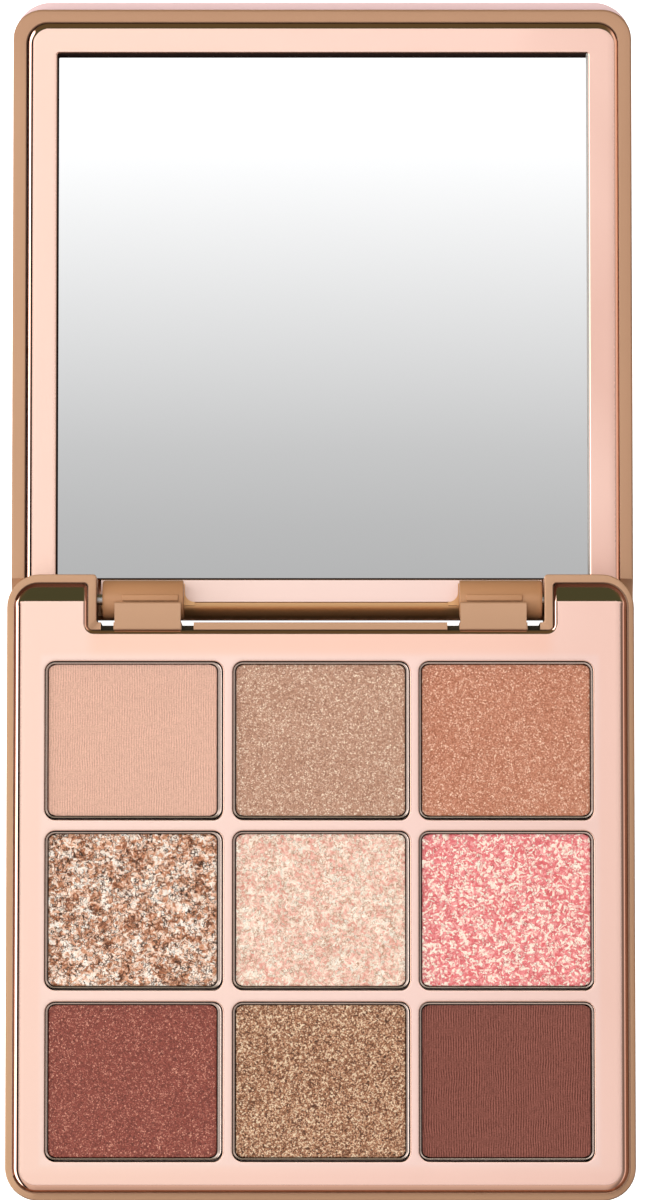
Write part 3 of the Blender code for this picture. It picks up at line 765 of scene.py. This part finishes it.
cover("rose_base_cover", HALF_W, -83.86, -3.40, [4.6, 4.6, 1.2, 1.2], 0.0, 1.4, "base", "base_cover")

# ----------------------------------------------------------------- rose deck
DX, DY0, TAB, NX, NY, TOP = 42.78, -82.60, 2.04, 32.61, -4.58, 11.49
P_DECK = [(-DX, DY0), (DX, DY0), (DX, TAB), (NX, TAB), (NX, NY), (-NX, NY), (-NX, TAB), (-DX, TAB)]
R_DECK = [3.2, 3.2, 3.1, 0.7, 1.0, 1.0, 0.7, 3.1]
FRONT, SIDE, REAR, NECK, STEP = (bevel(1.20, 0.06, 36), bevel(0.24, 0.47, 33, 0.24, soft=0.75), bevel(0.03, 0.02, 30),
                                 bevel(0.20, 0.26, 33, 0.12), bevel(0.12, 0.40, 30))
B_DECK = [FRONT, SIDE, REAR, NECK, STEP, NECK, REAR, SIDE]     # edge profile per side
E_DECK = [p[-1][0] for p in B_DECK]
OPEN_HW, OPEN_HH, OPEN_R, OPEN_DY = 11.92, 10.67, 1.06, 0.08


def cell(c, r):
    """Well, pan and opening of one place: the left column is a touch narrower on its
    left side from row to row, the right column on its right side."""
    x, hw, px, phw, ox, up = COLUMNS[c]
    t = ((0.06, 0.12, 0.20)[r], 0.0, -0.13)[c]
    less = abs(t) / 2
    return x + t / 2, hw - less, px + t / 2, phw - less, ox + t / 2, OPEN_HW - less, up


CENTRES = {f"r{r + 1}c{c + 1}": (cell(c, r), ROWS[r]) for r in range(3) for c in range(3)}
SLOPE = math.tan(math.radians(19.0))
BEND0, BEND1 = -0.58, -0.34       # where the tabs start to fall towards the rear


def fall(y):
    """How far the tabs' rear strip lies below the deck."""
    if y <= BEND0:
        return 0.0
    if y < BEND1:
        return SLOPE * (y - BEND0) ** 2 / (2 * (BEND1 - BEND0))
    return SLOPE * (y - (BEND0 + BEND1) / 2)


def rose_deck():
    s = Shape()
    creases = [BEND0 + (BEND1 - BEND0) * k / 5 for k in range(6)]
    hold = 0.05
    r_in = R_DECK[2] - (E_DECK[1] + E_DECK[2]) / 2 - hold
    cy = TAB - E_DECK[2] - hold - r_in
    marks = [math.degrees(math.asin((y - cy) / r_in)) / 90.0 for y in creases]
    steps = sorted([t for t in [i / 16 for i in range(17)] if min(abs(t - m) for m in marks) > 0.012] + marks)
    arcs = {2: steps, 7: [1 - t for t in steps[::-1]]}
    extra = {3: creases[::-1], 5: creases}
    rings = []

    def level(ins, drop):
        pts = outline(P_DECK, R_DECK, ins, drop, 10, arcs, extra)
        rings.append(s.ring([(x, y, max(TOP - d - fall(y), 9.56)) for x, y, d in pts]))

    level([r + hold for r in E_DECK], [0.0] * 8)
    for k in range(13):
        level([p[-1][0] - p[k][0] for p in B_DECK], [p[k][1] for p in B_DECK])
    first = rings[0]
    pts = [s.v[i] for i in first]
    lines = []
    n = 11
    # corner 2 sits after corners 0 and 1, edge 3 after corner 3
    c2, c3 = 2 * n, 2 * n + len(steps)
    e3 = c3 + n
    c5 = e3 + len(creases) + n
    e5 = c5 + n
    c7 = e5 + len(creases) + n
    for k, y in enumerate(creases):
        lines.append((first[c2 + steps.index(marks[k])], first[e3 + len(creases) - 1 - k]))
        lines.append((first[c7 + arcs[7].index(1 - marks[k])], first[e5 + k]))
    wells = []
    # lip of a well on its front, right, rear and left side: (width, slope) steps
    lips = [[(0.10, 1.5), (0.10, 4.0), (0.10, 7.0), (0.08, 8.5), (0.02, 10.0), (0.02, 45.0)],
            [(0.10, 1.5), (0.10, 4.0), (0.10, 7.0), (0.05, 10.0), (0.05, 32.0), (0.02, 50.0)],
            [(0.14, 3.0), (0.14, 5.0), (0.11, 7.0), (0.09, 9.0), (0.03, 13.0), (0.02, 45.0)],
            [(0.16, 2.0), (0.14, 4.0), (0.12, 6.0), (0.10, 8.0), (0.02, 12.0), (0.01, 45.0)]]
    for (x, hw, *_), y in CENTRES.values():
        loops = []
        poly = [(x - hw, y - WELL_HH), (x + hw, y - WELL_HH), (x + hw, y + WELL_HH), (x - hw, y + WELL_HH)]

        def well(out, zs):
            loops.append(s.ring(outline(poly, [WELL_R] * 4, [-u for u in out], zs, 8)))

        left, zs = [sum(w for w, _ in l) for l in lips], [TOP] * 4
        well([u + 0.03 for u in left], zs)
        well(left, zs)
        for k in range(6):
            left = [max(u - l[k][0], 0.0) for u, l in zip(left, lips)]
            zs = [z - l[k][0] * math.tan(math.radians(l[k][1])) for z, l in zip(zs, lips)]
            well(left, zs)
        well([0.0] * 4, [5.10] * 4)
        s.loft(loops)
        s.cap(loops[-1])
        wells.append(loops[0])
    s.fill([first] + wells, lines)
    low = s.ring([(x, y, 9.5) for x, y, _ in outline(P_DECK, R_DECK, [0.0] * 8, [0.0] * 8, 10, arcs, extra)])
    s.loft(rings + [low])
    a = s.ring(rr(0, (DY0 + 0.3 - 5.3) / 2, DX - 0.3, (-5.3 - DY0 - 0.3) / 2, 2.8, 9.5, 8))
    s.fill([low, a])
    b = s.ring(rr(0, (DY0 + 0.3 - 5.3) / 2, DX - 0.3, (-5.3 - DY0 - 0.3) / 2, 2.8, 4.1, 8))
    s.bridge(a, b)
    s.cap(b)
    me = cut(mesh_of("rose_deck", s), [("DIFFERENCE", block_mesh(x0, x0 + 11.0, -81.7, -79.15, 3.0, 10.0)) for x0 in (24.5, -35.5)])
    # the walls of the wells are near-black: painted shade
    paint(me, 1, lambda x, y, z, n: abs(n.z) < 0.3 and 5.2 < z < 11.2 and abs(x) < DX - 1 and DY0 + 1 < y < NY - 1)
    return piece("rose_deck", me, [ROSE, GAP_SHADE], "base", ("deck_tray",))


rose_deck()

# ------------------------------------------------------------ pans and powders
PAN_HH, PAN_R, PAN_TOP = 10.88, 1.3, 11.12


def pan_mesh(cx, hw, ox, ohw, up, cy):
    """Pressed pan: rounded foot, upturned outer edge around a narrow ledge that may
    be a little wider on one side."""
    s = Shape()
    rings = []

    def level(d, z):
        rings.append(s.ring(rr(cx, cy + OPEN_DY, hw - d, PAN_HH - d, PAN_R - d, z, 8)))

    def inner(d, z):
        rings.append(s.ring(rr(ox, cy + OPEN_DY, ohw - d, OPEN_HH - d, OPEN_R - d, z, 8)))

    for t in ROLL[::3]:
        level(0.40 * (1 - math.sin(t)), 5.45 + 0.40 * (1 - math.cos(t)))
    for d, fall_by in ((0.0, 0.05), (0.012, 0.014), (0.030, 0.0), (0.042, 0.005), (0.092, 0.048), (0.105, 0.055)):
        level(d, PAN_TOP - fall_by * (up if d > 0.03 else 1.0))
    ledge = PAN_TOP - 0.055 * up
    inner(-0.05, ledge - 0.006)
    inner(-0.02, ledge - 0.018)
    inner(-0.005, ledge - 0.05)
    inner(0.0, 6.0)
    inner(0.2, 5.87)
    s.cap(rings[0][::-1])
    s.loft(rings)
    s.cap(rings[-1])
    return mesh_of("pan", s)


def lump(x, y, z):
    return noise.noise(Vector((x, y, z)))


def relief(tag, x, y, seed):
    """Height of the pressed powder above its nominal face, in mm."""
    kind = tag
    if kind in ("r1c1", "r3c3"):
        rib = math.sin(2 * math.pi * x / 0.345 + 1.5 * lump(x * 0.3, y * 0.3, seed))
        amp = 0.5 + 0.5 * max(-1, min(1, 2.5 * lump(x * 0.22, y * 0.16, seed + 9)))
        return 0.010 * rib * amp + 0.010 * lump(x * 1.3, y * 1.3, seed)
    if kind in ("r2c1", "r2c2", "r2c3"):
        k = {"r2c1": 1.0, "r2c2": 0.55, "r2c3": 0.65}[kind]
        d, p = noise.voronoi(Vector((x * 1.15 + 0.5 * lump(x, y, seed), y * 1.15 + 0.5 * lump(y, x, seed + 4), seed)))
        facet = lump(*(p[0] * 3.0)) if False else lump(p[0].x * 5.1, p[0].y * 5.1, p[0].z * 5.1)
        step = min(1.0, (d[1] - d[0]) * 3.0)
        fine = lump(x * 3.6, y * 3.6, seed + 2)
        return k * (0.050 * facet + 0.035 * (step - 1.0) + 0.035 * fine + 0.045 * lump(x * 0.9, y * 0.9, seed + 5))
    if kind == "r3c2":
        return 0.030 * lump(x * 3.4, y * 3.4, seed) + 0.018 * lump(x * 1.2, y * 1.2, seed + 3)
    return 0.016 * lump(x * 3.4, y * 3.4, seed) + 0.014 * lump(x * 0.7, y * 0.7, seed + 3)


def powder_mesh(tag, cx, hw, cy, seed):
    hh, r, top = 10.54, 0.94, 10.95
    nx, ny = (230, 84) if tag in ("r1c1", "r3c3") else (118, 106)
    ys = [-hh + 2 * hh * j / ny for j in range(ny + 1)]
    s = Shape()
    grid = []
    for y in ys:
        over = max(0.0, abs(y) - (hh - r))
        half = hw - (r - math.sqrt(max(r * r - over * over, 0.0)))
        row = []
        for i in range(nx + 1):
            x = -half + 2 * half * i / nx
            edge = min(half - abs(x), hh - abs(y))
            soft = max(0.0, 1.0 - edge / 0.12)
            z = top + relief(tag, x, y, seed) * (1 - 0.6 * soft) - 0.09 * (1 - math.sqrt(max(1 - soft * soft, 0.0)))
            row.append((cx + x, cy + y, z))
        grid.append(s.ring(row))
    for a, b in zip(grid, grid[1:]):
        for i in range(nx):
            s.f.append((a[i], a[i + 1], b[i + 1], b[i]))
            s.m.append(0)
    rim = grid[0] + [g[-1] for g in grid[1:-1]] + grid[-1][::-1] + [g[0] for g in grid[-2:0:-1]]
    low = s.ring([(s.v[i][0], s.v[i][1], 6.05) for i in rim])
    s.bridge(rim, low)
    s.cap(low)
    return mesh_of("powder", s)


for k, (tag, ((_, _, px, phw, cx, ohw, up), cy)) in enumerate(CENTRES.items()):
    piece(f"pressed_pan_{tag}", pan_mesh(px, phw, cx, ohw, up, cy), TIN, "base", (f"pan_{tag}",))
    piece(f"pressed_powder_{tag}", powder_mesh(tag, cx, ohw - 0.16, cy + OPEN_DY, 11.0 + 7.3 * k), POWDER[tag], "base",
          (f"powder_{tag}",), smooth=60.0)

# ======================================================================== lid
L_OUT = [(-43.8, -2.46), (43.8, -2.46), (43.8, 84.28), (-43.8, 84.28)]
LR_OUT = [2.2, 2.2, 4.2, 4.2]
L_IN = [(-41.87, -0.12), (41.95, -0.12), (41.95, 82.30), (-41.87, 82.30)]
LR_IN = [0.6, 0.6, 3.0, 3.0]
LID_TOP = LID_Z + 4.2


def gusset(sx):
    """Fillet between the barrel's inner end and the hinge bar, seen in plan."""
    plan = [(19.50, 2.50), (19.36, 2.50)] + [(17.96 + 1.40 * math.cos(t), 1.28 - 1.40 * math.sin(t)) for t in ROLL[::2]]
    plan = [(x - max(sx, 0) * LID_X, y) for x, y in plan + [(17.96, -0.6), (19.50, -0.6)]]
    s = Shape()
    a = s.ring([(sx * x, y, LID_TOP - 1.0) for x, y in plan])
    b = s.ring([(sx * x, y, LID_TOP + 0.9) for x, y in plan])
    s.bridge(a, b)
    s.cap(a[::-1])
    s.cap(b)
    return mesh_of("gusset", s)


def cove(sx):
    """Room for the base's ear to turn in."""
    return lathe_mesh([(sx * (31.15 - max(sx, 0) * LID_X), 4.95), (sx * 46.0, 4.95)][::sx], 128)


def lid_tray():
    s = Shape()
    rings = []
    eo = [2.20, 0.30, 0.45, 0.12]
    ei = [0.05, 0.05, 0.16, 0.16]
    fall_out = [0.0, 0.05, 0.16, 0.0]
    z0 = LID_Z + 1.55

    def level(poly, radii, ins, zs):
        rings.append(s.ring(outline(poly, radii, ins, zs, 12)))

    level(L_OUT, LR_OUT, [0.0] * 4, [z0] * 4)
    for t in ROLL:
        level(L_OUT, LR_OUT, [r * (1 - math.cos(t)) for r in eo], [LID_TOP - f - r + r * math.sin(t) for r, f in zip(eo, fall_out)])
    for t in ROLL[::2]:
        level(L_IN, LR_IN, [-r * (1 - math.sin(t)) for r in ei], [LID_TOP - r * (1 - math.cos(t)) for r in ei])
    level(L_IN, LR_IN, [0.0] * 4, [z0] * 4)
    s.loft(rings[:-7])
    # the lid rim's inner rounding and inner wall take the darker caramel: painted shade
    s.loft(rings[-8:], 1)
    s.bridge(rings[-1], rings[0])
    me = mesh_of("lid_tray_body", s)
    tools = []
    for sx in (1, -1):
        tools.append(("DIFFERENCE", cove(sx)))
        x0, x1 = sorted((sx * 19.60, sx * 30.75))
        tools.append(("UNION", block_mesh(x0, x1, -2.05, -0.02, LID_TOP - 1.8, AXIS_Z - 0.6)))
        d = max(sx, 0) * LID_X
        prof = [(30.75, 2.52), (30.60, 2.65), (30.40, 2.70), (19.62 - d, 2.70), (19.52 - d, 2.67), (19.46 - d, 2.58)]
        tools.append(("UNION", lathe_mesh([(sx * x, r) for x, r in (prof[::-1] if sx > 0 else prof)], 72)))
        tools.append(("UNION", gusset(sx)))
        x0, x1 = sorted((sx * 20.1, sx * 28.0))
        tools.append(("UNION", block_mesh(x0, x1, -0.40, 0.55, AXIS_Z + 1.8, AXIS_Z + 2.97, 0.18)))
        tools.append(("DIFFERENCE", lathe_mesh([(sx * 27.4 - 6.0, 1.05), (sx * 27.4 + 6.0, 1.05)], 32)))
    me = paint(cut(me, tools, 5), 2, lambda x, y, z, n: abs(x) < 31.2 and (y < -0.10 or z > LID_TOP + 0.03))
    # the barrels take the darker copy of the caramel: painted shade
    paint(me, 3, lambda x, y, z, n: 19.2 < abs(x) < 31.2 and z > LID_TOP + 0.03)
    # the lid rim's right inner wall gets the lighter caramel: painted light
    paint(me, 4, lambda x, y, z, n: 41.8 < x < 42.3 and n.x < -0.3)
    return piece("caramel_lid_tray", me, [TAN, RECESS_SHADE, TAN_GLOSS, TAN_BARREL_SHADE, LID_INNER], "lid", ("lid_tray",))


lid_tray()
cover("rose_lid_cover", HALF_W, -2.46, 85.70, [2.2, 2.2, 5.2, 5.2], LID_Z, LID_Z + 1.4, "lid", "lid_cover")


def mirror_frame():
    out = [(-41.68, -0.08), (41.83, -0.08), (41.83, 82.18), (-41.68, 82.18)]
    r_out = [0.4, 0.4, 2.9, 2.9]
    gap = [(-37.42, 3.36), (37.50, 3.36), (37.50, 77.80), (-37.42, 77.80)]
    r_gap = [0.15] * 4
    top, bot = LID_Z + 4.30, LID_Z + 2.55
    edge = [bevel(0.02, 0.02, 30), bevel(0.20, 0.34, 33, soft=0.9), bevel(0.26, 0.57, 20), bevel(0.24, 0.33, 33, 0.24, soft=0.58)]
    draft = [0.105, 0.0, 0.0, 0.0]
    lips = [bevel(0.03, 0.12, 43), bevel(0.03, 0.10, 43), bevel(0.03, 0.12, 43), bevel(0.12, 0.05, 21, soft=0.44)]
    lips = [p + [(p[-1][0] + w, p[-1][1] + 0.20), (p[-1][0] + 2 * w, p[-1][1] + 0.46)] for p, w in zip(lips, (0.10, 0.12, 0.10, 0.07))]
    s = Shape()
    rings = []

    def level(poly, radii, ins, zs):
        rings.append(s.ring(outline(poly, radii, ins, zs, 12)))

    level(out, r_out, [0.0] * 4, [bot] * 4)
    for k in range(12, -1, -1):
        level(out, r_out, [p[-1][0] - p[k][0] for p in edge], [top + h - p[k][1] for p, h in zip(edge, draft)])
    level(out, r_out, [p[-1][0] + 0.05 for p in edge], [top + h for h in draft])
    level(gap, r_gap, [-p[-1][0] - 0.04 for p in lips], [top] * 4)
    for k in range(15):
        level(gap, r_gap, [p[k][0] - p[-1][0] for p in lips], [top - p[k][1] for p in lips])
    level(gap, r_gap, [0.0] * 4, [bot] * 4)
    s.loft(rings[:-3])
    # the gap's steep inner wall and the frame's underside are near-black: painted shade
    s.loft(rings[-4:] + rings[:1], 1)
    tools = [("DIFFERENCE", cove(sx)) for sx in (1, -1)]
    # the right lip's lower steps get the pale grey: painted reflection
    me = paint(cut(mesh_of("frame", s), tools, 3), 2, lambda x, y, z, n: 37.0 < x < 38.2 and n.x < -0.3 and z < top - 0.115)
    return piece("rose_mirror_frame", me, [ROSE_FRAME, GAP_SHADE, LIP_PALE], "lid", ("mirror_frame",))


mirror_frame()


def mirror_glass():
    s = Shape()
    rings = []
    cy, hh = (2.0 + 79.3) / 2, (79.3 - 2.0) / 2
    for d, z in ((0.10, 1.80), (0.0, 1.90), (0.0, 2.50), (0.03, 2.57), (0.10, 2.60), (0.14, 2.60)):
        rings.append(s.ring(rr(0, cy, 38.9 - d, hh - d, 0.6, z, 6)))
    s.cap(rings[0][::-1])
    s.loft(rings)
    s.cap(rings[-1])
    return piece("silvered_mirror", mesh_of("mirror", s), MIRROR, "lid", ("mirror_glass",))


mirror_glass()

# --------------------------------------------- carried-over pieces get finishes
FINISH = {"weight_plate": PLATE, "mirror_tape": TAPE, "hinge_pin": STEEL, "base_magnet": MAGNET,
          "lid_magnet": MAGNET, "pan_glue": GLUE}
for name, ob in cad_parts.items():
    for key, m in FINISH.items():
        if name.startswith(key):
            ob.data.materials.clear()
            ob.data.materials.append(m)

# ====================================================================== stage


def floor():
    n = Nodes("pale_floor")
    g = n.noise(9.0, 3.0, 0.5)
    n.set(Base_Color=n.ramp(g, [(0.3, (0.90, 0.90, 0.90)), (0.7, (0.92, 0.92, 0.92))]),
          Roughness=0.9, Specular_IOR_Level=0.1,
          Emission_Color=(1.0, 1.0, 1.0, 1.0), Emission_Strength=1.1)
    me = bpy.data.meshes.new("floor")
    me.from_pydata([(-9, -9, -0.0003), (9, -9, -0.0003), (9, 9, -0.0003), (-9, 9, -0.0003)], [], [(0, 1, 2, 3)])
    me.materials.append(n.mat)
    ob = temp("floor", me)
    ob.visible_diffuse = ob.visible_glossy = False


floor()


def studio():
    """Soft room: a broad panel overhead, a bright box on the left, a weak one on
    the right, and a dark wall behind."""
    w = bpy.data.worlds.new("studio")
    scene.world = w
    w.use_nodes = True
    n = Nodes.__new__(Nodes)
    n.nt = w.node_tree
    bg = n.nt.nodes["Background"]
    x, y, z = n.split(n.coord("Generated"))
    a = n.math("ARCTAN2", x, z)
    b = n.math("ARCTAN2", y, z)

    def along(v, stops):
        return n.ramp(n.span(v, -math.pi / 2, math.pi / 2, 0.0, 1.0),
                      [((deg + 90.0) / 180.0, c if isinstance(c, tuple) else (c, c, c)) for deg, c in stops])

    depth = along(b, [(-86, 0.03), (-74, 0.09), (-64, 0.20), (-54, (0.32, 0.28, 0.25)), (-42, (0.38, 0.335, 0.30)), (-26, (0.40, 0.36, 0.33)), (-14, 0.40), (-6, 0.31), (0.0, 0.265), (3.0, 0.265),
                      (4.5, 0.287), (5.6, 0.363), (6.5, 0.455), (7.5, 0.555), (8.4, 0.66), (10.0, 0.76), (20.5, 0.76), (22.0, 0.0)])
    width = along(a, [(-33, 0.0), (-31, 1.0), (-10, 1.0), (-5.0, 0.92), (5.0, 0.92), (14.0, 0.82), (30.0, 0.45), (42.0, 0.16), (46.0, 0.0)])
    boxes = along(a, [(-89.5, 0.0), (-88, 1.0), (-52, 1.0), (-49, 0.0), (34.0, 0.0), (46.0, (0.045, 0.034, 0.030)), (54.0, (0.25, 0.20, 0.18)),
                      (75.0, (0.25, 0.20, 0.18)), (79.0, 0.0)])
    spread = along(b, [(-72, 0.0), (-60, 1.0), (50, 1.0), (66, 0.0)])
    wall = along(b, [(-90, 0.03), (18, 0.03), (24, (0.066, 0.088, 0.045)), (44, (0.066, 0.088, 0.045)), (49, (0.115, 0.098, 0.046)), (80, (0.115, 0.098, 0.046)), (90, (0.10, 0.09, 0.05))])
    panel = n.mix(1.0, depth, width, "MULTIPLY")
    soft = n.mix(1.0, boxes, spread, "MULTIPLY")

    def gain(c, k):
        m = n.add("ShaderNodeVectorMath", operation="SCALE")
        n.put(m.inputs[0], c)
        m.inputs["Scale"].default_value = k
        return m.outputs[0]

    both = n.add("ShaderNodeVectorMath", operation="ADD")
    n.put(both.inputs[0], gain(panel, 1.75))
    n.put(both.inputs[1], gain(soft, 3.2))
    room = n.add("ShaderNodeVectorMath", operation="ADD")
    n.put(room.inputs[0], both.outputs[0])
    n.put(room.inputs[1], wall)
    n.put(bg.inputs["Color"], room.outputs[0])
    bg.inputs["Strength"].default_value = 1.0


studio()


def lamp(name, place, aim, size, power, colour=(1.0, 1.0, 1.0), gloss=True):
    li = bpy.data.lights.new(name, "AREA")
    li.shape, li.size, li.energy, li.color = "SQUARE", size, power, colour
    ob = bpy.data.objects.new(name, li)
    scene.collection.objects.link(ob)
    ob.location = place
    ob.rotation_mode = "QUATERNION"
    ob.rotation_quaternion = (Vector(aim) - Vector(place)).to_track_quat("-Z", "Y")
    ob.visible_camera = False
    ob.visible_glossy = gloss
    return ob


lamp("overhead_soft", (-0.13, 0.06, 0.45), (0.0, 0.0, 0.0), 0.60, 1.70, (1.0, 0.99, 0.98), gloss=False)
lamp("rear_warm", (-0.10, 1.24, 0.60), (0.0, 0.0, 0.0), 0.80, 6.4, (1.0, 0.84, 0.66), gloss=False)

# ===================================================================== camera


def camera():
    cd = bpy.data.cameras.new("camera")
    cd.sensor_fit, cd.sensor_width, cd.lens = "AUTO", 36.0, 36.0 * 6086.0 / 1200.0
    cd.clip_start, cd.clip_end = 0.01, 50.0
    ob = bpy.data.objects.new("camera", cd)
    scene.collection.objects.link(ob)
    t = math.radians(4.2)           # off the vertical, towards the front
    look, up = Vector((0, math.sin(t), -math.cos(t))), Vector((0, math.cos(t), math.sin(t)))
    at = Vector((0.00028, -0.00122, 0.0115)) - look * 0.85
    side = look.cross(up)
    ob.matrix_world = Matrix((( side.x, up.x, -look.x, at.x), (side.y, up.y, -look.y, at.y),
                              (side.z, up.z, -look.z, at.z), (0, 0, 0, 1)))
    scene.camera = ob


camera()
scene.view_settings.view_transform = "Standard"
scene.view_settings.look = "None"
